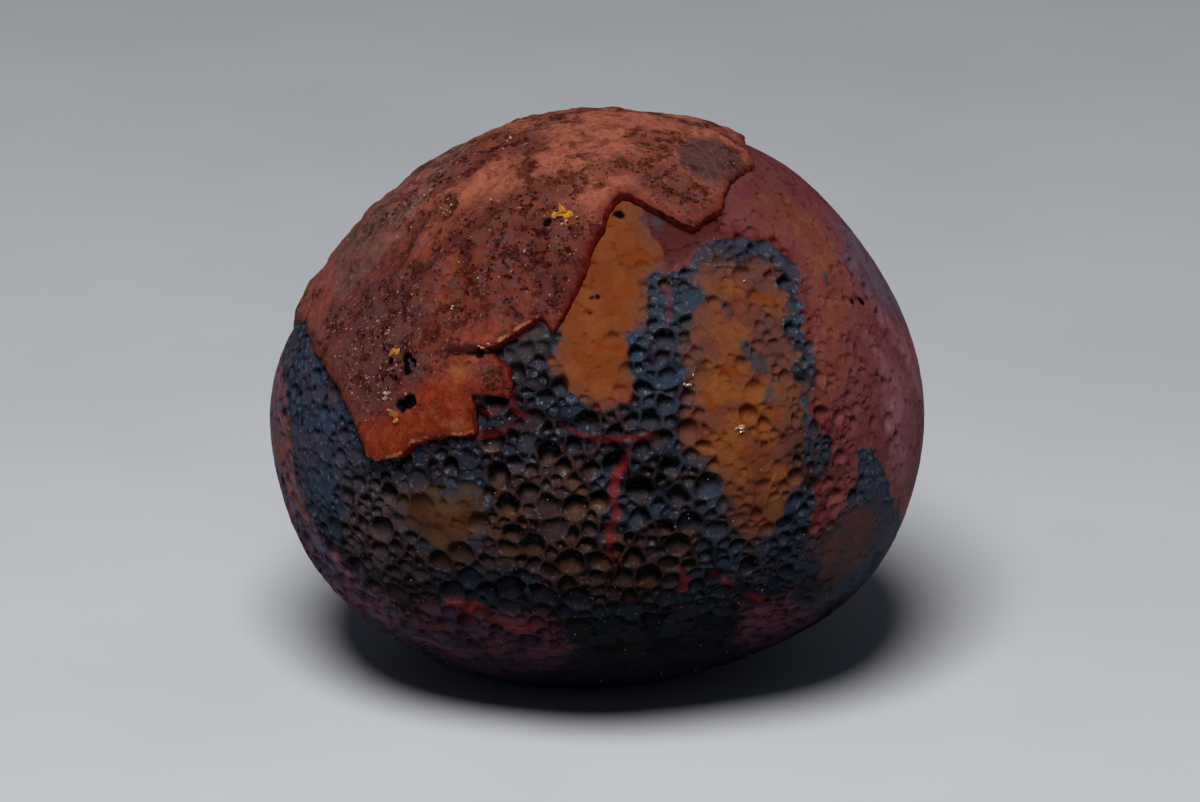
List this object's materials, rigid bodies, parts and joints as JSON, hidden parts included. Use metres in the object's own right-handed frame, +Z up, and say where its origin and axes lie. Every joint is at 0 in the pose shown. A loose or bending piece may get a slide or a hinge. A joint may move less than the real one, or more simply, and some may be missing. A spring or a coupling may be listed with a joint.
{
  "type": "agate nodule",
  "caption": "Rounded, pitted agate nodule with a broken patch of outer rind over its upper left and back, worn flat underneath.",
  "frame": {"origin": "under the middle of the stone, on the surface it rests on", "axes": "+Z up; the stone's longest extent runs along X; -Y faces the side where the rind's broken edge crosses the front"},
  "size_m": [0.06, 0.0538, 0.0522],
  "materials": {
    "pitted_agate": "pitted chalcedony in brick red, amber and slate blue, satin, with a matt brown rind"
  },
  "bodies": {
    "root": {"agate_nodule": "pitted_agate"}
  },
  "joints": []
}
